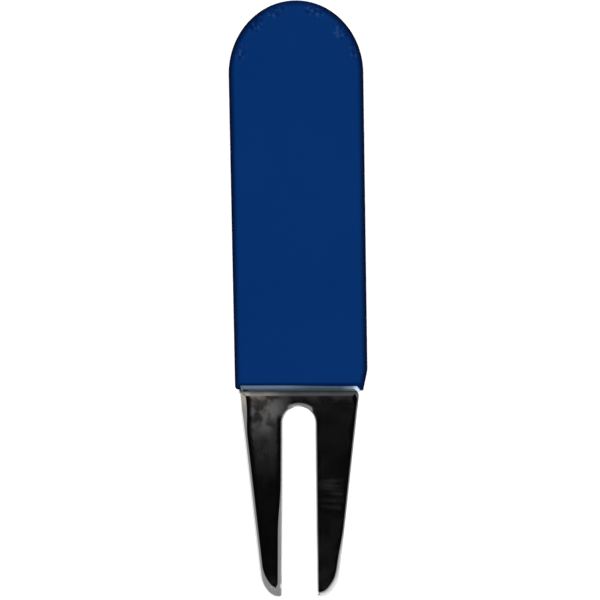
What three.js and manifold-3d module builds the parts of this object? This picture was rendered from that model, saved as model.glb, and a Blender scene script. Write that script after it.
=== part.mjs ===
// A vinyl-covered divot repair tool, in millimetres.
// A plated steel fork runs back into a thin tang. Two vinyl plies, sealed to each other round
// their edges, hold the tang in a pocket and make the handle.
// The tool lies flat: +X is right, +Y points from the prongs to the round end of the handle, and
// +Z comes up out of the front face.
// Outlines are drawn with x = 0 on the fork's axis, y = 0 at the mouth of the cover and z = 0 in
// the plane where the two plies meet.

import * as THREE from "three";
import { mergeVertices } from "three/addons/utils/BufferGeometryUtils.js";
import Module from "manifold-3d";

// Driving dimensions.
const overallLength = 82.5;
const coverWidth = 18.34; // at the mouth
const handleThickness = 3.1;
const forkLength = 29.35; // from the mouth of the cover to the prong tips
const forkThickness = 2.0; // at the shoulder
const tipThickness = 1.5;
const tangThickness = 1.4;
const slotWidth = 4.56; // at its round end
const slotWidthAtTips = 4.94;

// The cover: it leans a little to the left of the fork's axis, as it was sealed askew.
const coverLean = THREE.MathUtils.degToRad(0.78);
const coverFlare = THREE.MathUtils.degToRad(0.19); // of each side, opening towards the round end
const coverShift = 0.33; // of the cover's middle at the mouth, to the right of the fork's axis
const coverEndLength = 10.13; // of its half-elliptic end
const coverEdgeRound = 0.65; // how far in from the outline the faces start to fall away
const sealThickness = 0.7; // both plies together, at the outline
const sealGap = 0.04; // between the two plies
const trimHeight = 2; // the lower right corner is trimmed inwards from here down
const trimDepth = 0.45;
const leftEarDrop = 0.62; // how far each lower corner of the seal hangs below the mouth
const rightEarDrop = 0.84;
const earWidth = 0.75;
const earHeight = 1.2; // how far up the cover's side its root reaches
const earTipInset = 0.15; // of its tip's outer corner from the cover's side
const earTipWidth = 0.22;
const lipLength = 0.55; // how far the cut edge of the vinyl reaches past the mouth
const lipWidth = 16.2;
const lipShift = 0.1; // of the lip's middle, from the fork's axis
const lipRoot = 0.6; // how far it runs back into the cover, to join it
const lipThickness = 2.2; // both plies and the tang between them

// The fork.
const shoulderDrop = 0.65; // from the mouth down to the fork's shoulder
const forkHalfWidth = 8.36; // at the shoulder
const taperAngle = THREE.MathUtils.degToRad(6.37);
const shoulderRadius = 0.8;
const slotTopDrop = 3.03; // from the mouth down to the round end of the slot
const tipRoundLength = 3.1; // how far up each prong its rounded tip reaches
const tipFlatEnd = 3; // distance from the axis to where the tip's end starts to curve up
const forkEdgeRound = 0.45;

// The tang and its pocket.
const tangHalfWidth = 7.7;
const tangShift = -0.25; // of the tang's middle, from the fork's axis
const tangTopClearance = 1.5; // between the tang's round end and the outline of the cover
const tangRoot = 2.2; // how far the tang runs down inside the fork, to join it
const pocketClearance = 0.15; // round the tang's edge
const pocketFaceClearance = 0.05; // over each face of the tang

const ROUNDING = 0.5523; // handle length of a cubic curve that draws a quarter circle
const TIP_POINTING = 0.4; // the same at a prong's end, shorter so that the tip is more pointed
const ARC_STEPS = 12;
const BEVEL_STEPS = 4;

// Sizes that follow from those.
const coverLength = overallLength - forkLength;
const coverEndY = coverLength - coverEndLength;
const tangRadiusY = coverLength - tangTopClearance - tangHalfWidth;

const vinyl = new THREE.MeshStandardMaterial({
  name: "blue_vinyl",
  color: 0x08316c,
  roughness: 0.55,
  metalness: 0,
});
const plating = new THREE.MeshStandardMaterial({
  name: "plated_steel",
  color: 0xb9babc,
  roughness: 0.18,
  metalness: 1,
});

// Half the fork's width at a height y, which is below the mouth and so negative.
function forkHalfWidthAt(y) {
  return forkHalfWidth + (y + shoulderDrop) * Math.tan(taperAngle);
}

// Two tapering prongs with a round-ended slot between them, and a square shoulder on the left
// and a rounded one on the right.
function forkOutline() {
  const tipY = -forkLength;
  const tipStartY = tipY + tipRoundLength;
  const tipStartX = forkHalfWidthAt(tipStartY);
  const handle = ROUNDING * tipRoundLength;
  const handleIn = handle * Math.tan(taperAngle);
  const slotCentreY = -slotTopDrop - slotWidth / 2;
  const shoulderY = -shoulderDrop;
  const roundY = shoulderY - shoulderRadius;
  const roundX = forkHalfWidthAt(roundY) - shoulderRadius / Math.cos(taperAngle);
  const outline = new THREE.Shape();
  outline.moveTo(-forkHalfWidthAt(shoulderY), shoulderY);
  outline.lineTo(-tipStartX, tipStartY);
  outline.bezierCurveTo(
    -tipStartX + handleIn,
    tipStartY - handle,
    -tipFlatEnd - TIP_POINTING * (tipStartX - tipFlatEnd),
    tipY,
    -tipFlatEnd,
    tipY,
  );
  outline.lineTo(-slotWidthAtTips / 2, tipY);
  outline.lineTo(-slotWidth / 2, slotCentreY);
  outline.absarc(0, slotCentreY, slotWidth / 2, Math.PI, 0, true);
  outline.lineTo(slotWidthAtTips / 2, tipY);
  outline.lineTo(tipFlatEnd, tipY);
  outline.bezierCurveTo(
    tipFlatEnd + TIP_POINTING * (tipStartX - tipFlatEnd),
    tipY,
    tipStartX - handleIn,
    tipStartY - handle,
    tipStartX,
    tipStartY,
  );
  outline.absarc(roundX, roundY, shoulderRadius, -taperAngle, Math.PI / 2);
  outline.closePath();
  return outline;
}

// A parallel-sided strip with a round top, for the tang and, grown by a margin, for its pocket.
function tangOutline(bottomY, margin) {
  const halfWidth = tangHalfWidth + margin;
  const outline = new THREE.Shape();
  outline.moveTo(tangShift - halfWidth, bottomY);
  outline.lineTo(tangShift + halfWidth, bottomY);
  outline.absarc(tangShift, tangRadiusY, halfWidth, 0, Math.PI);
  outline.closePath();
  return outline;
}

// The cover's side at a height y: side is -1 or 1, or 0 for its middle.
function coverSideAt(y, side) {
  const middle = coverShift - y * Math.tan(coverLean);
  return middle + side * (coverWidth / 2 + y * Math.tan(coverFlare));
}

// Leaning sides, a half-elliptic top, a straight mouth and the trimmed lower right corner.
function coverOutline() {
  const endX = coverSideAt(coverEndY, 0);
  const endHalfWidth = coverSideAt(coverEndY, 1) - endX;
  const outline = new THREE.Shape();
  outline.moveTo(coverSideAt(0, -1), 0);
  outline.lineTo(coverSideAt(0, 1) - trimDepth, 0);
  outline.lineTo(coverSideAt(trimHeight, 1), trimHeight);
  outline.absellipse(endX, coverEndY, endHalfWidth, coverEndLength, 0, Math.PI, false, 0);
  outline.closePath();
  return outline;
}

// A lower corner of the seal, which hangs below the mouth beside the fork's shoulder.
function earOutline(side, drop) {
  const outer = coverSideAt(0, side) - (side > 0 ? trimDepth : 0);
  const inner = outer - side * earWidth;
  const tipOuter = outer - side * earTipInset;
  const tipInner = tipOuter - side * earTipWidth;
  const outline = new THREE.Shape();
  outline.moveTo(outer, earHeight);
  outline.lineTo(inner - side * earWidth, 0);
  outline.lineTo(inner, 0);
  outline.lineTo(tipInner, -drop);
  outline.lineTo(tipOuter, -drop);
  outline.lineTo(outer, -drop / 2);
  outline.closePath();
  return outline;
}

// The cut edge of the vinyl, a straight lip along the mouth.
function lipOutline() {
  const outline = new THREE.Shape();
  outline.moveTo(lipShift - lipWidth / 2, -lipLength);
  outline.lineTo(lipShift + lipWidth / 2, -lipLength);
  outline.lineTo(lipShift + lipWidth / 2, lipRoot);
  outline.lineTo(lipShift - lipWidth / 2, lipRoot);
  outline.closePath();
  return outline;
}

// A flat solid of an outline, centred on z = 0. Its edges are rounded by roundIn across the face
// and roundDown through the thickness.
function slab(outline, thickness, roundIn, roundDown) {
  const rounded = roundIn > 0;
  const geometry = new THREE.ExtrudeGeometry(outline, {
    depth: thickness - 2 * roundDown,
    curveSegments: ARC_STEPS,
    bevelEnabled: rounded,
    bevelSize: roundIn,
    bevelOffset: -roundIn,
    bevelThickness: roundDown,
    bevelSegments: BEVEL_STEPS,
  });
  geometry.translate(0, 0, roundDown - thickness / 2);
  return geometry;
}

const wasm = await Module();
wasm.setup();

// A closed geometry as a solid that can be joined and cut.
function solidOf(geometry) {
  const bare = geometry.clone();
  bare.deleteAttribute("normal");
  bare.deleteAttribute("uv");
  const merged = mergeVertices(bare, 1e-4);
  return new wasm.Manifold(
    new wasm.Mesh({
      numProp: 3,
      vertProperties: merged.attributes.position.array,
      triVerts: new Uint32Array(merged.index.array),
    }),
  );
}

function geometryOf(solid) {
  const mesh = solid.getMesh();
  const geometry = new THREE.BufferGeometry();
  geometry.setAttribute("position", new THREE.BufferAttribute(mesh.vertProperties, 3));
  geometry.setIndex(new THREE.BufferAttribute(mesh.triVerts, 1));
  geometry.computeVertexNormals();
  return geometry;
}

// The fork thins evenly from its shoulder to its tips, and its tang is thinner again.
function forkBlade() {
  const fork = slab(forkOutline(), forkThickness, forkEdgeRound, forkEdgeRound);
  const points = fork.attributes.position;
  const thinnest = tipThickness / forkThickness;
  for (let i = 0; i < points.count; i += 1) {
    const share = THREE.MathUtils.mapLinear(points.getY(i), -shoulderDrop, -forkLength, 1, thinnest);
    points.setZ(i, points.getZ(i) * share);
  }
  const tang = slab(tangOutline(-tangRoot, 0), tangThickness, 0, 0);
  return geometryOf(solidOf(fork).add(solidOf(tang)));
}

// One ply, on the side of the seal plane that side names: 1 is the front and -1 the back.
function coverPly(side) {
  const edgeDepth = (handleThickness - sealThickness) / 2;
  const body = solidOf(slab(coverOutline(), handleThickness, coverEdgeRound, edgeDepth));
  const leftEar = solidOf(slab(earOutline(-1, leftEarDrop), sealThickness, 0, 0));
  const rightEar = solidOf(slab(earOutline(1, rightEarDrop), sealThickness, 0, 0));
  const lip = solidOf(slab(lipOutline(), lipThickness, 0, 0));
  const pocketThickness = tangThickness + 2 * pocketFaceClearance;
  const pocketBottom = -2 * rightEarDrop;
  const pocket = solidOf(slab(tangOutline(pocketBottom, pocketClearance), pocketThickness, 0, 0));
  const otherHalf = new THREE.BoxGeometry(3 * coverWidth, 3 * coverLength, handleThickness);
  otherHalf.translate(0, 0, (side * (sealGap - handleThickness)) / 2);
  const whole = body.add(leftEar).add(rightEar).add(lip);
  return geometryOf(whole.subtract(pocket).subtract(solidOf(otherHalf)));
}

function named(name, geometry, material) {
  const mesh = new THREE.Mesh(geometry, material);
  mesh.name = name;
  return mesh;
}

const tool = new THREE.Group();
tool.add(
  named("fork_blade", forkBlade(), plating),
  named("front_cover", coverPly(1), vinyl),
  named("back_cover", coverPly(-1), vinyl),
);

// The origin is the middle of the tool's length and width, on the surface that it lies on.
const box = new THREE.Box3().setFromObject(tool, true);
const middle = box.getCenter(new THREE.Vector3());
tool.position.set(-middle.x, -middle.y, -box.min.z);

export default tool;
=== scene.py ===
import math

import bpy
import numpy as np
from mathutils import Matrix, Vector, noise
from mathutils.geometry import delaunay_2d_cdt


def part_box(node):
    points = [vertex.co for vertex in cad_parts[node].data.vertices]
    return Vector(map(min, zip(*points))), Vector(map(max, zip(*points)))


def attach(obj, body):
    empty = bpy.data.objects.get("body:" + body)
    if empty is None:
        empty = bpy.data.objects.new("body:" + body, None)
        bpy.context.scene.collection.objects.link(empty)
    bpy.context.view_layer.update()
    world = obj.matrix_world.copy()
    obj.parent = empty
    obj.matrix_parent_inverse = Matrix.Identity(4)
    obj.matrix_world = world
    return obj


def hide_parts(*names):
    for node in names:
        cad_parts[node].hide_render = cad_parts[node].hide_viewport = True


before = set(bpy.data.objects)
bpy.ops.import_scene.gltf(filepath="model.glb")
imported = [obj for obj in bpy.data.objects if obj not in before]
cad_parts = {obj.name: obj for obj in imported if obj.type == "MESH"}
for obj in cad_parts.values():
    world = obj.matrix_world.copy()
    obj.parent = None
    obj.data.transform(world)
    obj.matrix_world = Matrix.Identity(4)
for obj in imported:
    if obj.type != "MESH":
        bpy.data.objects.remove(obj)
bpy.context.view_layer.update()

# A divot repair tool with a vinyl handle, lying on its back: a plated steel fork with its tang
# sealed between two blue vinyl plies. Outlines and heights below are in millimetres, in the
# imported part's own frame, and become metres in make_object.

MM = 0.001


def box_mm(node):
    """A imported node's lowest and highest corner, in millimetres."""
    low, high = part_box(node)
    return low / MM, high / MM


fork_low, fork_high = box_mm("fork_blade")
front_low, front_high = box_mm("front_cover")
_, back_high = box_mm("back_cover")

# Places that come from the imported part.
TIP_Y = fork_low.y
HANDLE_TOP_Y = front_high.y
SEAM_Z = (front_low.z + back_high.z) / 2
HANDLE_HALF = front_high.z - SEAM_Z
FORK_HALF = (fork_high.z - fork_low.z) / 2

# Driving sizes, as in the part.
FORK_LENGTH = 29.35
FORK_HALF_WIDTH = 8.36
TAPER = math.tan(math.radians(6.37))
MOUTH_Y = TIP_Y + FORK_LENGTH
AXIS_X = fork_low.x + FORK_HALF_WIDTH
SHOULDER_Y = MOUTH_Y - 0.65
SLOT_TOP_Y = MOUTH_Y - 3.03
SLOT_HALF = 2.28
SLOT_HALF_AT_TIPS = 2.47
TIP_ROUND_LENGTH = 3.1
TIP_FLAT_END = 3.0
TIP_THICKNESS_SHARE = 0.75
ROUNDING = 0.5523  # handle length of a cubic curve that draws a quarter circle
TIP_POINTING = 0.4  # the same at a prong's end, shorter so that the tip is more pointed
TANG_HALF = 0.7
TANG_HALF_WIDTH = 7.7
TANG_SHIFT = -0.25
TANG_TOP_Y = HANDLE_TOP_Y - 1.5

COVER_LEAN = math.tan(math.radians(0.78))
COVER_FLARE = math.tan(math.radians(0.19))
COVER_SHIFT = 0.33
COVER_HALF_AT_MOUTH = 9.17
COVER_END_LENGTH = 10.13
COVER_END_Y = HANDLE_TOP_Y - COVER_END_LENGTH
TRIM_HEIGHT = 2.0

# Where the vinyl gathered into folds round the cover's end: each group's direction in degrees
# anticlockwise from +X, and how far in from the edge it reaches.
PUCKERS = ((20, 1.7), (43, 3.0), (73, 2.3), (108, 2.3), (129, 2.4), (160, 2.4))
PUCKER_SPREAD = 8
CREST_OF_END = 92  # the direction of the end's highest place

# How far in from its edge the vinyl is matte.
SEAL_WIDTH = 0.85

# The lip is the vinyl's cut edge at the mouth, between two lower corners, the ears. It reaches a
# little further than the part's. X values are from the fork's axis.
LIP_LENGTH = 0.62
LIP_LEFT_X = -8.0
LIP_RIGHT_X = 8.5
LIP_FADE = 0.12
LEFT_EAR_X = -8.24
LEFT_EAR_DROP = 0.66
RIGHT_EAR_X = (8.62, 8.88)
RIGHT_EAR_DROP = 0.84

# The slanting line where the lip meets the right ear: the shares of x and y in a point's distance
# past the middle of the mouth, square to the line, and the line's own distance.
EAR_LINE_X = 0.77
EAR_LINE_Y = 0.64
EAR_LINE_DISTANCE = 6.08

BARE_STEEL = (0.64, 0.635, 0.63, 1)
# Along the shoulder: a painted highlight at the left and painted shade at the right.
SHOULDER_HIGHLIGHT_AT_LEFT = (0.95, 0.88, 0.79, 1)
SHOULDER_SHADE_AT_RIGHT = (0.25, 0.243, 0.26, 1)
SHADOW_AT_LEFT = (0.3, 0.33, 0.37, 1)
SHADOW_AT_RIGHT = (0.1, 0.12, 0.13, 1)
# The shoulder's top edge: a painted reflection of the blue vinyl, and a painted highlight at its
# right corner.
SHOULDER_EDGE_REFLECTION = (0.3, 0.38, 0.41, 1)
SHOULDER_CORNER_HIGHLIGHT = (0.6, 0.7, 0.78, 1)

VINYL_DEEP = (0.001, 0.0198, 0.1, 1)
VINYL_LIGHT = (0.0013, 0.0214, 0.106, 1)
# A painted highlight on the folds' crests and painted shade in their creases.
VINYL_CREST_HIGHLIGHT = (0.009, 0.036, 0.124, 1)
VINYL_CREASE_SHADE = (0.0, 0.0105, 0.072, 1)
# Painted shade along the vinyl's rounded edges, where it rounds down to the mouth, and on its inner
# face.
VINYL_EDGE_SHADE = (0.0001, 0.004, 0.026, 1)
LIP_AT_LEFT = (0.095, 0.137, 0.2, 1)
LIP_AT_MIDDLE = (0.055, 0.084, 0.115, 1)
# Painted shade where the lip turns under.
LIP_UNDERSIDE_SHADE = (0.015, 0.022, 0.03, 1)
# A painted highlight towards the right ear, palest at the corner.
LIP_RIGHT_HIGHLIGHT = (0.15, 0.2, 0.27, 1)
LIP_CORNER_HIGHLIGHT = (0.5, 0.6, 0.76, 1)


# ---- outlines ----

def arc_through(corner, before, after, radius, spacing):
    """The points of a round of that radius at a corner of a polygon."""
    corner, before, after = map(np.array, (corner, before, after))
    to_before = (before - corner) / np.linalg.norm(before - corner)
    to_after = (after - corner) / np.linalg.norm(after - corner)
    half_angle = math.acos(np.clip(to_before @ to_after, -1, 1)) / 2
    bisector = (to_before + to_after) / np.linalg.norm(to_before + to_after)
    centre = corner + bisector * radius / math.sin(half_angle)
    start = corner + to_before * radius / math.tan(half_angle) - centre
    end = corner + to_after * radius / math.tan(half_angle) - centre
    turn = math.pi - 2 * half_angle
    side = 1 if start[0] * end[1] - start[1] * end[0] > 0 else -1
    steps = max(4, math.ceil(turn * radius / spacing))
    angles = math.atan2(start[1], start[0]) + side * turn * np.arange(steps + 1) / steps
    return [centre + radius * np.array((math.cos(a), math.sin(a))) for a in angles]


def outline(corners, spacing):
    """A closed polyline of (x, y, corner radius) corners, with no step longer than spacing."""
    places = [np.array(c[:2], float) for c in corners]
    rough = []
    for i, (_, _, radius) in enumerate(corners):
        before, after = places[i - 1], places[(i + 1) % len(places)]
        if radius > 0:
            rough += arc_through(places[i], before, after, radius, spacing)
        else:
            rough.append(places[i])
    fine = []
    for a, b in zip(rough, rough[1:] + rough[:1]):
        steps = max(1, math.ceil(np.linalg.norm(b - a) / spacing))
        fine += [a + (b - a) * k / steps for k in range(steps)]
    return np.array(fine)


def bezier_corners(a, b, c, d, steps):
    """Corners along a cubic curve from a to d, both ends included."""
    a, b, c, d = map(np.array, (a, b, c, d))
    corners = []
    for t in np.linspace(0, 1, steps + 1):
        s = 1 - t
        point = a * s**3 + 3 * b * s * s * t + 3 * c * s * t * t + d * t**3
        corners.append((point[0], point[1], 0))
    return corners


def fork_half_width(y):
    return FORK_HALF_WIDTH + (y - SHOULDER_Y) * TAPER


def prong_corners(side):
    """One prong's tip, from its flat end round to its straight outer edge; side is -1 or 1."""
    start_y = TIP_Y + TIP_ROUND_LENGTH
    start_x = fork_half_width(start_y)
    handle = ROUNDING * TIP_ROUND_LENGTH
    curve = bezier_corners(
        (TIP_FLAT_END, TIP_Y),
        (TIP_FLAT_END + TIP_POINTING * (start_x - TIP_FLAT_END), TIP_Y),
        (start_x - handle * TAPER, start_y - handle),
        (start_x, start_y),
        14,
    )
    return [(AXIS_X + side * x, y, r) for x, y, r in curve]


def fork_corners():
    """The fork alone, anticlockwise from its left shoulder."""
    return [
        (AXIS_X - FORK_HALF_WIDTH, SHOULDER_Y, 0.3),
        *reversed(prong_corners(-1)),
        (AXIS_X - SLOT_HALF_AT_TIPS, TIP_Y, 0.35),
        (AXIS_X - SLOT_HALF, SLOT_TOP_Y, SLOT_HALF - 0.01),
        (AXIS_X + SLOT_HALF, SLOT_TOP_Y, SLOT_HALF - 0.01),
        (AXIS_X + SLOT_HALF_AT_TIPS, TIP_Y, 0.35),
        *prong_corners(1),
        (AXIS_X + FORK_HALF_WIDTH, SHOULDER_Y, 0.9),
    ]


def tang_corners(bottom_y):
    left = AXIS_X + TANG_SHIFT - TANG_HALF_WIDTH
    right = AXIS_X + TANG_SHIFT + TANG_HALF_WIDTH
    return [
        (right, bottom_y, 0.05),
        (right, TANG_TOP_Y, TANG_HALF_WIDTH - 0.01),
        (left, TANG_TOP_Y, TANG_HALF_WIDTH - 0.01),
        (left, bottom_y, 0.05),
    ]


def cover_side(y, side):
    """The cover's side at a height y; side is -1 or 1, or 0 for its middle."""
    above = y - MOUTH_Y
    half = COVER_HALF_AT_MOUTH + above * COVER_FLARE
    return AXIS_X + COVER_SHIFT - above * COVER_LEAN + side * half


def cover_end(steps):
    """The half-elliptic top end of the cover, from its right side round to its left."""
    middle = cover_side(COVER_END_Y, 0)
    half = cover_side(COVER_END_Y, 1) - middle
    return [
        (middle + half * math.cos(t), COVER_END_Y + COVER_END_LENGTH * math.sin(t), 0)
        for t in np.linspace(0, math.pi, steps)
    ]


def cover_corners():
    """One ply, anticlockwise from the lip's left end.

    The lip's right end bends down round the fork's shoulder to the right ear."""
    left_ear_y = MOUTH_Y - LEFT_EAR_DROP
    right_ear_y = MOUTH_Y - RIGHT_EAR_DROP
    lip_y = MOUTH_Y - LIP_LENGTH
    return [
        (AXIS_X + LIP_LEFT_X, lip_y, 0.08),
        (AXIS_X + 7.6, lip_y, 0.3),
        (AXIS_X + 8.3, MOUTH_Y - 1.0, 0.12),
        (AXIS_X + RIGHT_EAR_X[0], right_ear_y, 0.06),
        (AXIS_X + RIGHT_EAR_X[1], right_ear_y, 0.12),
        (cover_side(MOUTH_Y + TRIM_HEIGHT, 1), MOUTH_Y + TRIM_HEIGHT, 3.0),
        *cover_end(140),
        (cover_side(left_ear_y, -1), left_ear_y, 0.5),
        (AXIS_X + LEFT_EAR_X, left_ear_y, 0.08),
    ]


# ---- surfaces ----

def distance_to(loop, points, kept=None):
    """Each point's distance to a closed polyline, or to the part of it whose points kept marks."""
    chosen = np.arange(len(loop)) if kept is None else np.flatnonzero(kept)
    places = loop[chosen]
    nearest = np.empty(len(points), int)
    batch = 4000
    for i in range(0, len(points), batch):
        some = points[i : i + batch]
        away = (places**2).sum(axis=1)[None] - 2 * some @ places.T
        nearest[i : i + batch] = chosen[away.argmin(axis=1)]
    gaps = []
    for first in (nearest - 1, nearest):
        start, end = loop[first], loop[(first + 1) % len(loop)]
        along = end - start
        share = ((points - start) * along).sum(axis=1) / (along**2).sum(axis=1)
        closest = start + np.clip(share, 0, 1)[:, None] * along
        gaps.append(np.linalg.norm(points - closest, axis=1))
    return np.minimum(*gaps)


def inside(loop, points):
    """True for each point that lies inside a closed polyline."""
    x, y = points[:, 0:1], points[:, 1:2]
    ax, ay = loop[:, 0][None], loop[:, 1][None]
    bx, by = np.roll(loop[:, 0], -1)[None], np.roll(loop[:, 1], -1)[None]
    spans = (ay > y) != (by > y)
    rise = np.where(by == ay, 1, by - ay)
    crosses = spans & (x < ax + (y - ay) * (bx - ax) / rise)
    return crosses.sum(axis=1) % 2 == 1


def ring(loop, depth):
    """The loop's points moved inwards by depth, without those that pass a nearer edge."""
    along = np.roll(loop, -1, axis=0) - np.roll(loop, 1, axis=0)
    along /= np.linalg.norm(along, axis=1)[:, None]
    inward = np.stack((-along[:, 1], along[:, 0]), axis=1)
    depth = np.broadcast_to(depth, len(loop))
    moved = loop + inward * depth[:, None]
    return moved[distance_to(loop, moved) > depth * 0.97]


def grid(loop, spacing, margin):
    """Points on a staggered grid inside a loop, at least margin from it."""
    low, high = loop.min(axis=0), loop.max(axis=0)
    rows = np.arange(low[1], high[1], spacing * math.sqrt(3) / 2)
    points = [
        (x + (i % 2) * spacing / 2, y)
        for i, y in enumerate(rows)
        for x in np.arange(low[0], high[0], spacing)
    ]
    points = np.array(points)
    points = points[distance_to(loop, points) > margin]
    return points[inside(loop, points)]


def thinned(points, gap):
    """The points, with only one kept in each square of that gap."""
    _, first = np.unique(np.round(points / gap).astype(int), axis=0, return_index=True)
    return points[np.sort(first)]


def triangulate(loop, inner):
    """Points and triangles of the area inside a loop; the loop's own points come first."""
    points = [Vector(p) for p in np.vstack((loop, inner))]
    count = len(loop)
    inside_only = 1
    tolerance = 1e-6
    made, _, faces, origin, _, _ = delaunay_2d_cdt(
        points, [], [list(range(count))], inside_only, tolerance
    )
    first = {source: new for new, sources in enumerate(origin) for source in sources}
    order = [first[i] for i in range(count)]
    rest = sorted(set(range(len(made))) - set(order))
    place = {old: new for new, old in enumerate(order + rest)}
    flat = np.array([made[i] for i in order + rest])
    triangles = [[place[i] for i in face] for face in faces]
    return flat, triangles


def plate(rim_count, top, top_faces, bottom, bottom_faces):
    """A closed plate of two surfaces that share an outline, which is their first points."""
    offset = len(top)
    faces = [list(f) for f in top_faces]
    faces += [[offset + i for i in reversed(f)] for f in bottom_faces]
    for i in range(rim_count):
        j = (i + 1) % rim_count
        faces.append([offset + i, offset + j, j, i])
    return np.vstack((top, bottom)), faces


def smooth(low, high, value):
    """0 below low, 1 above high, and a smooth rise between them."""
    t = np.clip((value - low) / (high - low), 0, 1)
    return t * t * (3 - 2 * t)


def lifted(points, heights):
    return np.column_stack((points, SEAM_Z + heights))


def make_object(name, vertices, faces, material):
    """A mesh object from millimetre vertices, with smooth shading between its sharp edges."""
    mesh = bpy.data.meshes.new(name)
    mesh.from_pydata([Vector(v) * MM for v in vertices], [], faces)
    mesh.shade_smooth()
    mesh.set_sharp_from_angle(angle=math.radians(42))
    mesh.materials.append(material)
    made = bpy.data.objects.new(name, mesh)
    bpy.context.scene.collection.objects.link(made)
    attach(made, "root")
    return made


def store(made, name, values):
    """A value for each vertex, which the object's material reads by that name."""
    stored = made.data.attributes.new(name, "FLOAT", "POINT")
    stored.data.foreach_set("value", values)


# ---- the fork ----

def bevel(points):
    """The fork's bevel near each point: how far in it reaches, and how far it falls to the edge.

    Also how far each point lies inside the bevels of the prongs' sides, slot and tips."""
    x = points[:, 0] - AXIS_X
    y = points[:, 1]
    below = SHOULDER_Y - y
    above_tip = y - TIP_Y
    left = x < 0
    slot_centre_y = SLOT_TOP_Y - SLOT_HALF
    slot_gap = np.hypot(x, np.maximum(y - slot_centre_y, 0)) - SLOT_HALF
    outer_gap = fork_half_width(y) - abs(x)
    near_tip = smooth(4.4, 1.2, above_tip)

    # The bevels are wide on the left prong, narrow on the right, and wider towards the tips.
    outer_left = 0.5 + 0.45 * smooth(6.5, 1.5, below) + 0.55 * near_tip
    outer_right = 0.17 + 0.3 * smooth(1.5, 0.5, below)
    outer_right = outer_right + 0.3 * smooth(10, 4, above_tip) + 0.3 * near_tip
    inner_left = 0.15 + 0.42 * smooth(12, 20, below) + 0.6 * smooth(2.0, 0.6, above_tip)
    inner_right = 0.15 + 0.25 * smooth(0.9, 0.3, above_tip)
    up_slot = (y - slot_centre_y) / SLOT_HALF
    slot_top = 0.13 + 0.42 * np.where(left, smooth(0.82, 1, up_slot), smooth(0.62, 0.95, up_slot))
    tip = np.where(left, 1.3, 0.75)
    shoulder = np.full(len(x), 0.92)

    gaps = np.stack((below, above_tip, outer_gap, slot_gap))
    outer = np.where(left, outer_left, outer_right)
    inner = np.where(y > slot_centre_y, slot_top, np.where(left, inner_left, inner_right))
    reaches = np.stack((shoulder, tip, outer, inner))
    reach = np.choose(gaps.argmin(axis=0), reaches)
    steepness = np.where(left, 0.62, 0.62 + 0.25 * smooth(12, 5, above_tip))
    deepest = 0.42 + np.where(left, 0.1, 0.26) * near_tip
    fall = np.minimum(steepness * reach, deepest)
    return reach, fall, (gaps - reaches)[1:].min(axis=0)


def fork_heights(fork_loop, tang_loop, points):
    """Heights of the fork's face above its middle plane."""
    x, y = points[:, 0] - AXIS_X, points[:, 1]
    share = (SHOULDER_Y - y) / (SHOULDER_Y - TIP_Y)
    face = FORK_HALF * (1 - (1 - TIP_THICKNESS_SHARE) * np.clip(share, 0, 1))
    reach, fall, _ = bevel(points)
    in_fork = inside(fork_loop, points) | (y < SHOULDER_Y - 0.02)
    depth = np.where(in_fork, distance_to(fork_loop, points), 0)
    # The left prong's edge is turned down further, less so at its tip.
    turned_edge = 0.17 * np.clip(1 - depth / 0.3, 0, 1) ** 2 * smooth(1.0, -1.0, x)
    turned_edge *= 1 - 0.5 * smooth(4.0, 1.0, y - TIP_Y)
    fork = face - fall * np.clip(1 - depth / reach, 0, 1) ** 1.15 - turned_edge
    edge_drop = 0.14
    edge = TANG_HALF - edge_drop
    in_tang = np.where(inside(tang_loop, points), distance_to(tang_loop, points), 0)
    tang = edge + (TANG_HALF - edge) * smooth(0, 0.15, in_tang)
    tang = np.where(in_tang > 1e-6, tang, np.where(in_fork, 0, edge))
    return np.maximum(np.where(in_fork, fork, 0), tang)


def make_fork(material):
    spacing = 0.13
    bevel_shares = (0.3, 0.5, 0.7, 0.86, 0.96, 1.04, 1.15, 1.35)
    edge_depths = (0.04, 0.09, 0.14, 0.2, 0.3)
    tang_depths = (0.05, 0.1, 0.15)
    shoulder_drops = (0, 0.2, 0.3)

    fork_loop = outline(fork_corners(), spacing)
    tang_loop = outline(tang_corners(SHOULDER_Y - 2), spacing)
    right, _, _, left = tang_corners(SHOULDER_Y)
    whole = outline(fork_corners() + [right, *tang_corners(0)[1:3], left], spacing)
    reach, _, _ = bevel(fork_loop)
    rings = [ring(fork_loop, reach * share) for share in bevel_shares]
    rings += [ring(fork_loop, depth) for depth in edge_depths]
    rings += [ring(tang_loop, depth) for depth in tang_depths]
    edge_x = np.arange(left[0] + 0.1, right[0] - 0.1, spacing)
    for drop in shoulder_drops:
        rings.append(np.column_stack((edge_x, np.full(len(edge_x), SHOULDER_Y - drop))))
    rings.append(grid(whole, 0.45, 0.3))
    inner = np.vstack(rings)
    inner = inner[inside(whole, inner)]
    inner = thinned(inner[distance_to(whole, inner) > 0.012], 0.02)
    flat, faces = triangulate(whole, inner)
    heights = fork_heights(fork_loop, tang_loop, flat)
    front, back = lifted(flat, heights), lifted(flat, -heights)
    made = make_object("plated_fork", *plate(len(whole), front, faces, back, faces), material)
    store(made, "inside_rims", np.tile(bevel(flat)[2], 2))
    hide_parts("fork_blade")


# ---- the cover ----

def round_end(points):
    """The direction of each point from the middle of the cover's end, in degrees from +X."""
    away = points - (cover_side(COVER_END_Y, 0), COVER_END_Y)
    return np.degrees(np.arctan2(away[:, 1], away[:, 0]))


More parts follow.
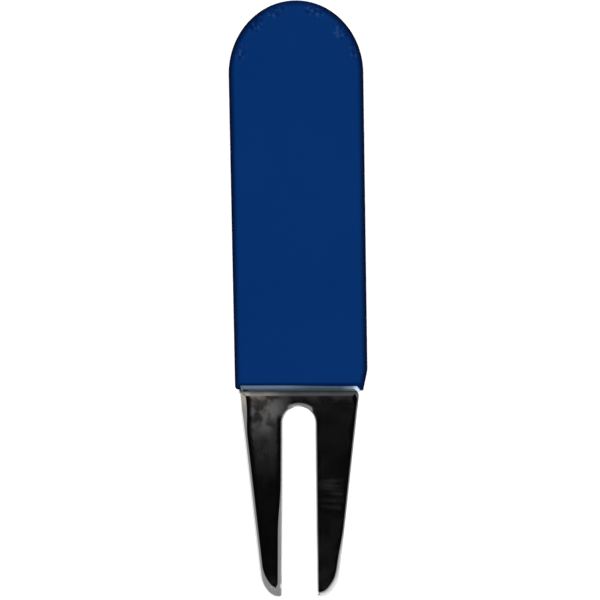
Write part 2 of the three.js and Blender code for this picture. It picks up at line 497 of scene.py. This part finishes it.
def puckers(points, inwards):
    """Small folds where the vinyl gathered inside the seal, from -1 in a crease to 1 on a crest."""
    angle = round_end(points)
    gathered = 0.1 * smooth(2.4, 1.3, inwards)
    for direction, reach in PUCKERS:
        near = np.exp(-(((angle - direction) / PUCKER_SPREAD) ** 2))
        gathered += near * smooth(reach, 0.6 * reach, inwards)
    folds = [noise.noise((x * 2.4 + y * 1.4, y * 1.6 - x * 1.1, 6.7)) for x, y in points]
    band = smooth(0.45, 0.8, inwards)
    return np.clip(2.0 * np.array(folds), -1, 1) * band * np.clip(gathered, 0, 1)


def pressing(points, inwards):
    """How much painted shade each point gets at the vinyl's rounded edge: 1 at the edge, 0 on the
    flat face.
    """
    from_top = abs(round_end(points) - CREST_OF_END)
    top = smooth(30, 10, from_top)
    beside_top = smooth(15, 35, from_top) * smooth(75, 55, from_top)
    edge = smooth(0.95 + 0.3 * top + 0.3 * beside_top, 0.12, inwards) ** 1.1
    return edge * (1 - 0.35 * top)


def ply_heights(points, inwards, folds):
    """Heights of the ply's outer face above the seam."""
    rim = 0.3
    rise = smooth(0.02, 0.78, inwards) ** 0.8
    at_end = smooth(COVER_END_Y, HANDLE_TOP_Y, points[:, 1])
    sag = 0.1 * at_end * (1 - smooth(0.6, 2.0, inwards))
    creases = 0.2 * np.clip(-folds, 0, 1)
    sides = rim + (HANDLE_HALF - rim - sag) * rise - creases
    into = points[:, 1] - MOUTH_Y
    round_length = 0.6
    round_drop = 0.36
    turn = np.clip((round_length - into) / round_length, 0, 1)
    mouth = HANDLE_HALF - round_drop * (1 - np.sqrt(1 - turn**2 * 0.98))
    lip = HANDLE_HALF - round_drop - 0.05 - 0.42 * np.clip(-into / LIP_LENGTH, 0, 1) ** 1.3
    return np.minimum(sides, np.where(into > 0, mouth, lip))


def pocket_heights(pocket, points):
    """Heights of the ply's inner face above the seam: a land at the seal, a pocket inside it."""
    land = 0.02
    ceiling = TANG_HALF + 0.02
    covered = np.where(inside(pocket, points), distance_to(pocket, points), 0)
    return land + (ceiling - land) * smooth(0, 0.2, covered)


def ply_mesh():
    """The front ply's vertices and faces, its point masks, and which faces are matte."""
    loop = outline(cover_corners(), 0.17)
    loop_x = loop[:, 0] - AXIS_X
    below_mouth = loop[:, 1] < MOUTH_Y - 0.05
    on_lip = below_mouth & (loop_x > LIP_LEFT_X - 0.05) & (loop_x < LIP_RIGHT_X)
    sealed = ~on_lip
    depths = [0.04 + 0.075 * k for k in range(11)] + [0.95 + 0.17 * k for k in range(12)]
    upper = [ring(loop, d) for d in depths]
    upper = np.vstack([*upper, grid(loop, 0.5, 3.0)])
    outer, outer_faces = triangulate(loop, thinned(upper, 0.02))
    pocket = outline(tang_corners(MOUTH_Y - 3), 0.4)
    lower = [ring(loop, d) for d in (0.1, 0.3, 0.6)]
    lower += [ring(pocket, d) for d in (0.01, 0.1, 0.2)]
    lower = np.vstack([*lower, grid(loop, 1.0, 1.0)])
    lower = lower[inside(loop, lower)]
    lower = thinned(lower[distance_to(loop, lower) > 0.05], 0.05)
    inner, inner_faces = triangulate(loop, lower)
    inwards = distance_to(loop, outer, sealed)
    folds = puckers(outer, inwards)
    edge_shade = pressing(outer, inwards)
    top = lifted(outer, ply_heights(outer, inwards, folds))
    bottom = lifted(inner, pocket_heights(pocket, inner))
    vertices, faces = plate(len(loop), top, outer_faces, bottom, inner_faces)
    masks = {
        "folds": np.append(folds, np.zeros(len(inner))),
        "edge_shade": np.append(edge_shade, np.ones(len(inner))),
    }
    matte = np.append((inwards < SEAL_WIDTH) | (outer[:, 1] < MOUTH_Y + 0.5), np.ones(len(inner)))
    is_matte = [matte[f].mean() > 0.5 for f in faces]
    return vertices, faces, masks, is_matte


def make_cover(face_material, seal_material):
    """The two plies. The back one is the front one's mirror image in the seam."""
    vertices, faces, masks, is_matte = ply_mesh()
    mirrored = vertices.copy()
    mirrored[:, 2] = 2 * SEAM_Z - vertices[:, 2]
    turned = [list(reversed(f)) for f in faces]
    front = make_object("front_vinyl_ply", vertices, faces, face_material)
    back = make_object("back_vinyl_ply", mirrored, turned, face_material)
    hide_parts("front_cover")
    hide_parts("back_cover")
    for ply in (front, back):
        for name, values in masks.items():
            store(ply, name, values)
        ply.data.materials.append(seal_material)
        ply.data.polygons.foreach_set("material_index", np.array(is_matte, int))


# ---- materials ----

class Nodes:
    """A material's or world's node tree, with short ways to add and join nodes."""

    def __init__(self, owner):
        owner.use_nodes = True
        self.tree = owner.node_tree
        self.tree.nodes.clear()

    def add(self, kind, settings=None, **inputs):
        made = self.tree.nodes.new(kind)
        for key, value in (settings or {}).items():
            setattr(made, key, value)
        for key, value in inputs.items():
            self.put(made, key.replace("_", " "), value)
        return made

    def put(self, target, name, value):
        socket = target.inputs[int(name) if name.isdigit() else name]
        if isinstance(value, bpy.types.NodeSocket):
            self.tree.links.new(value, socket)
        else:
            socket.default_value = value

    def math(self, operation, a, b=0.0):
        made = self.add("ShaderNodeMath", {"operation": operation})
        self.put(made, "0", a)
        self.put(made, "1", b)
        return made.outputs[0]

    def total(self, *terms):
        """The sum of (factor, factor, ...) products and single values."""
        whole = None
        for term in terms:
            factors = term if isinstance(term, tuple) else (term,)
            product = factors[0]
            for factor in factors[1:]:
                product = self.math("MULTIPLY", product, factor)
            whole = product if whole is None else self.math("ADD", whole, product)
        return whole

    def spread(self, value, low, high, to_low=0.0, to_high=1.0):
        """value from low to high, eased to run from to_low to to_high."""
        made = self.add("ShaderNodeMapRange", {"interpolation_type": "SMOOTHSTEP"})
        for name, number in zip(
            ("Value", "From Min", "From Max", "To Min", "To Max"),
            (value, low, high, to_low, to_high),
        ):
            self.put(made, name, number)
        return made.outputs["Result"]

    def mask(self, name):
        """A value stored for each vertex."""
        return self.add("ShaderNodeAttribute", {"attribute_name": name}).outputs["Fac"]

    def noise(self, vector, scale, detail, roughness):
        made = self.add("ShaderNodeTexNoise", Vector=vector, Scale=scale, Detail=detail)
        self.put(made, "Roughness", roughness)
        return made.outputs["Fac"]

    def stretched(self, vector, scale):
        return self.add("ShaderNodeMapping", Vector=vector, Scale=scale).outputs[0]

    def blend(self, share, a, b):
        made = self.add("ShaderNodeMix", {"data_type": "RGBA"})
        for index, value in ((0, share), (6, a), (7, b)):
            self.put(made, str(index), value)
        return made.outputs[2]


class ToolNodes(Nodes):
    """The nodes of a material on the tool, with each shaded point's place on it in metres."""

    def __init__(self, owner):
        super().__init__(owner)
        self.place = self.add("ShaderNodeTexCoord").outputs["Object"]
        split = self.add("ShaderNodeSeparateXYZ", Vector=self.place)
        self.across, self.along = split.outputs["X"], split.outputs["Y"]

    def step_across(self, low, high):
        """0 at low and 1 at high, which are millimetres to the right of the fork's axis."""
        return self.spread(self.across, (AXIS_X + low) * MM, (AXIS_X + high) * MM)

    def step_up(self, base, low, high, top=1.0):
        """0 at low and top at high, which are millimetres above a base."""
        return self.spread(self.along, (base + low) * MM, (base + high) * MM, 0.0, top)

    def near_shoulder(self, far, near):
        """0 beyond the distance far below the fork's shoulder, 1 within the distance near."""
        return self.step_up(SHOULDER_Y, -far, -near)


def steel_roughness(n, scratches):
    """Mirror bright at the tips, hazed by handling near the cover, and scuffed on the right."""
    inside_rims = n.mask("inside_rims")
    left = n.step_across(-0.5, -4.0)
    right = n.math("SUBTRACT", 1.0, left)

    # The haze keeps to the flat faces, except above the slot.
    from_axis = n.math("ABSOLUTE", n.math("SUBTRACT", n.across, AXIS_X * MM))
    beside_axis = n.spread(from_axis, 4.2 * MM, 3.0 * MM)
    over_slot = n.math("MULTIPLY", beside_axis, n.near_shoulder(4.6, 3.2))
    worn_rim = n.spread(n.noise(n.place, 900, 2, 0.5), 0.35, 0.65, -0.3, 0.5)
    dark_rim = n.total((left, 0.45), (right, worn_rim), 0.45)
    flat = n.math("MAXIMUM", n.spread(inside_rims, 0.1, dark_rim), over_slot)

    patches = n.spread(n.noise(n.place, 560, 2, 0.5), 0.37, 0.63, 0.15, 1.2)
    clouds = n.spread(n.noise(n.place, 300, 3, 0.55), 0.38, 0.62)
    wide_haze = n.near_shoulder(16, 6)
    patchy_haze = n.near_shoulder(7.5, 3)
    left_haze = n.total((wide_haze, 0.15), (patchy_haze, patches, 0.22), 0.02)
    edge_haze = n.total((n.near_shoulder(5.5, 0.5), 0.1), (n.near_shoulder(2.2, 0.6), 0.11))
    right_haze = n.total((edge_haze, patches, 0.5), (edge_haze, 0.7), 0.06)
    tip_haze = n.step_up(TIP_Y, 9, 3)
    haze = n.total((left, left_haze), (right, right_haze), (clouds, 0.05), (tip_haze, 0.03))
    haze = n.math("MULTIPLY", haze, flat)

    at_end = n.step_up(TIP_Y, 3.4, 2.2)
    inner_face = n.spread(inside_rims, 0.0, 0.35)
    end_haze = n.total((left, 0.065), 0.025)
    haze = n.total(haze, (at_end, inner_face, end_haze), (n.near_shoulder(0.35, 0.1), 0.25))

    # Cross scuffs, half way down the right prong.
    scuff_lines = n.noise(n.stretched(n.place, (0.14, 1, 1)), 1300, 3, 0.5)
    scuff_lines = n.spread(scuff_lines, 0.46, 0.6)
    above_scuffs = n.near_shoulder(13, 11.5)
    scuffed = n.math("MULTIPLY", n.near_shoulder(18, 16), n.math("SUBTRACT", 1.0, above_scuffs))
    return n.total(0.055, haze, (scratches, 0.06), (scuff_lines, scuffed, right, flat, 0.075))


def steel_colour(n):
    """Bare plating; near the shoulder a painted highlight at the left and painted shade at the
    right, a painted shadow, and a painted reflection of the blue vinyl on the edge.
    """
    rightwards = n.step_across(-7.5, -0.3)
    # Within 3 mm of the shoulder: a painted highlight at the left and painted shade at the right.
    shoulder_light_and_shade = n.blend(rightwards, SHOULDER_HIGHLIGHT_AT_LEFT, SHOULDER_SHADE_AT_RIGHT)
    shadow = n.blend(rightwards, SHADOW_AT_LEFT, SHADOW_AT_RIGHT)
    # A painted reflection of the blue vinyl on the shoulder's edge, and a painted highlight at its
    # right corner.
    edge = n.blend(n.step_across(5.5, 7.5), SHOULDER_EDGE_REFLECTION, SHOULDER_CORNER_HIGHLIGHT)
    colour = n.blend(n.near_shoulder(3.0, 1.2), BARE_STEEL, shoulder_light_and_shade)
    colour = n.blend(n.near_shoulder(0.66, 0.26), colour, shadow)
    return n.blend(n.near_shoulder(0.26, 0.1), colour, edge)


def steel_material():
    """Plated steel with fine lengthwise scratches and a slightly uneven face."""
    material = bpy.data.materials.new("plated_steel")
    n = ToolNodes(material)
    scratches = n.noise(n.stretched(n.place, (1, 0.1, 1)), 7000, 4, 0.6)
    relief = n.total((scratches, 0.01), (n.noise(n.place, 180, 2, 0.4), 0.3))
    bump = n.add("ShaderNodeBump", Height=relief, Strength=1.0, Distance=0.00003)
    shader = n.add(
        "ShaderNodeBsdfPrincipled",
        Base_Color=steel_colour(n),
        Metallic=1.0,
        Roughness=steel_roughness(n, scratches),
        Normal=bump.outputs[0],
    )
    n.add("ShaderNodeOutputMaterial", Surface=shader.outputs[0])
    return material


def lip_colour(n):
    """The cut edge at the mouth: greyer to the right, with painted shade where it turns under, and
    a painted highlight towards the right ear, palest at its corner.
    """
    colour = n.blend(n.step_across(-2.5, 2.0), LIP_AT_LEFT, LIP_AT_MIDDLE)
    # Painted shade where the lip turns under.
    colour = n.blend(n.step_up(MOUTH_Y, -0.4, -LIP_LENGTH, 0.4), colour, LIP_UNDERSIDE_SHADE)
    # A painted highlight towards the right ear, palest at the corner.
    colour = n.blend(n.step_across(5.6, 7.4), colour, LIP_RIGHT_HIGHLIGHT)
    return n.blend(n.step_across(7.2, 8.1), colour, LIP_CORNER_HIGHLIGHT)


def lip_mask(n):
    """1 on the lip, 0 on the ears beside it and on the face above it."""
    past_mouth = n.total((n.across, EAR_LINE_X), (n.along, EAR_LINE_Y))
    ear_line = AXIS_X * EAR_LINE_X + MOUTH_Y * EAR_LINE_Y + EAR_LINE_DISTANCE
    before_right_ear = n.spread(past_mouth, ear_line * MM, (ear_line - LIP_FADE) * MM)
    past_left_ear = n.step_across(LIP_LEFT_X - LIP_FADE, LIP_LEFT_X)
    between_ears = n.math("MULTIPLY", past_left_ear, before_right_ear)
    # The face's lower edge dips a little towards the right.
    dipped = n.total(n.along, (n.step_across(-3, 7), 0.14 * MM))
    below_face = n.spread(dipped, (MOUTH_Y - 0.02) * MM, (MOUTH_Y - 0.14) * MM)
    return n.math("MULTIPLY", between_ears, below_face)


def vinyl_colour(n):
    """Blue with random tone, a painted highlight on fold crests and painted shade in creases,
    painted shade darkest at the rounded edges and the mouth, and a pale lip.
    """
    folds = n.mask("folds")
    tone = n.spread(n.noise(n.place, 70, 3, 0.5), 0.3, 0.7)
    face = n.blend(tone, VINYL_DEEP, VINYL_LIGHT)
    # A painted highlight on the fold crests and painted shade in the creases.
    face = n.blend(n.spread(folds, 0.12, 0.6, 0.0, 0.8), face, VINYL_CREST_HIGHLIGHT)
    face = n.blend(n.spread(folds, -0.12, -0.6, 0.0, 0.85), face, VINYL_CREASE_SHADE)
    # Painted shade on the rounded edges, on the ply's inner face, and where the face rounds down to
    # the mouth.
    dark = n.math("MAXIMUM", n.mask("edge_shade"), n.step_up(MOUTH_Y, 0.5, 0.05, 0.6))
    shell = n.blend(dark, face, VINYL_EDGE_SHADE)
    return n.blend(lip_mask(n), shell, lip_colour(n))


def vinyl_material(name, specular, smoothest, roughest):
    """Blue vinyl with a very fine grain."""
    material = bpy.data.materials.new(name)
    n = ToolNodes(material)
    grain = n.add("ShaderNodeTexVoronoi", Vector=n.place, Scale=6000.0).outputs["Distance"]
    soft = n.noise(n.place, 2600, 3, 0.6)
    relief = n.total((grain, 0.3), (soft, 0.5), (n.noise(n.place, 420, 2, 0.5), 1.2))
    bump = n.add("ShaderNodeBump", Height=relief, Strength=0.4, Distance=0.00004)
    shader = n.add(
        "ShaderNodeBsdfPrincipled",
        Base_Color=vinyl_colour(n),
        Roughness=n.spread(soft, 0.3, 0.7, smoothest, roughest),
        Normal=bump.outputs[0],
    )
    n.put(shader, "Specular IOR Level", specular)
    n.add("ShaderNodeOutputMaterial", Surface=shader.outputs[0])
    return material


# ---- studio ----

def make_floor():
    material = bpy.data.materials.new("studio_floor")
    n = Nodes(material)
    place = n.add("ShaderNodeTexCoord").outputs["Object"]
    tone = n.spread(n.noise(place, 30, 2, 0.5), 0.3, 0.7)
    colour = n.blend(tone, (0.88, 0.88, 0.88, 1), (0.9, 0.9, 0.9, 1))
    shader = n.add("ShaderNodeBsdfPrincipled", Base_Color=colour, Roughness=0.9)
    n.add("ShaderNodeOutputMaterial", Surface=shader.outputs[0])
    mesh = bpy.data.meshes.new("studio_floor")
    half = 3.0
    corners = [(-half, -half, 0), (half, -half, 0), (half, half, 0), (-half, half, 0)]
    mesh.from_pydata(corners, [], [(0, 1, 2, 3)])
    mesh.materials.append(material)
    floor = bpy.data.objects.new("studio_floor", mesh)
    bpy.context.scene.collection.objects.link(floor)
    # A hair below the tool's back, so that the two faces never coincide.
    floor.location.z = -0.00002


def make_world():
    """Soft light all round, brightest at the horizon, and a dark ceiling straight overhead."""
    world = bpy.data.worlds.new("studio")
    bpy.context.scene.world = world
    n = Nodes(world)
    direction = n.add("ShaderNodeTexCoord").outputs["Generated"]
    height = n.add("ShaderNodeSeparateXYZ", Vector=direction).outputs["Z"]
    walls = n.spread(height, 0.91, 0.78, 0.003, 0.38)
    horizon = n.spread(height, 0.3, 0.0, 0.0, 0.5)
    back = n.add("ShaderNodeBackground", Color=(1, 1, 1, 1), Strength=n.total(walls, horizon))
    n.add("ShaderNodeOutputWorld", Surface=back.outputs[0])


def make_key_light():
    """A soft light from straight overhead, even over the whole floor."""
    light = bpy.data.lights.new("overhead_light", "SUN")
    light.energy = 3.64
    light.angle = math.radians(12)
    made = bpy.data.objects.new("overhead_light", light)
    made.location = (0, 0, 0.7)
    made.visible_glossy = False
    bpy.context.scene.collection.objects.link(made)


def make_camera():
    """Straight down on the front face, with the tool from edge to edge of the picture."""
    data = bpy.data.cameras.new("camera")
    data.lens = 135
    data.sensor_width = 36
    data.clip_start = 0.01
    margin = 1.0065
    span = (HANDLE_TOP_Y - TIP_Y) * margin * MM
    distance = span * data.lens / data.sensor_width
    off_centre = 0.19
    middle = Vector((AXIS_X + off_centre, -off_centre, 0)) * MM
    camera = bpy.data.objects.new("camera", data)
    camera.location = middle + Vector((0, 0, SEAM_Z * MM + distance))
    camera.rotation_euler = (0, 0, math.radians(-0.2))
    bpy.context.scene.collection.objects.link(camera)
    bpy.context.scene.camera = camera


make_camera()
make_floor()
make_world()
make_key_light()
make_fork(steel_material())
make_cover(
    vinyl_material("blue_vinyl", specular=0.08, smoothest=0.4, roughest=0.52),
    vinyl_material("blue_vinyl_seal", specular=0.01, smoothest=0.8, roughest=0.9),
)

bpy.context.scene.view_settings.view_transform = "Standard"
bpy.context.view_layer.update()
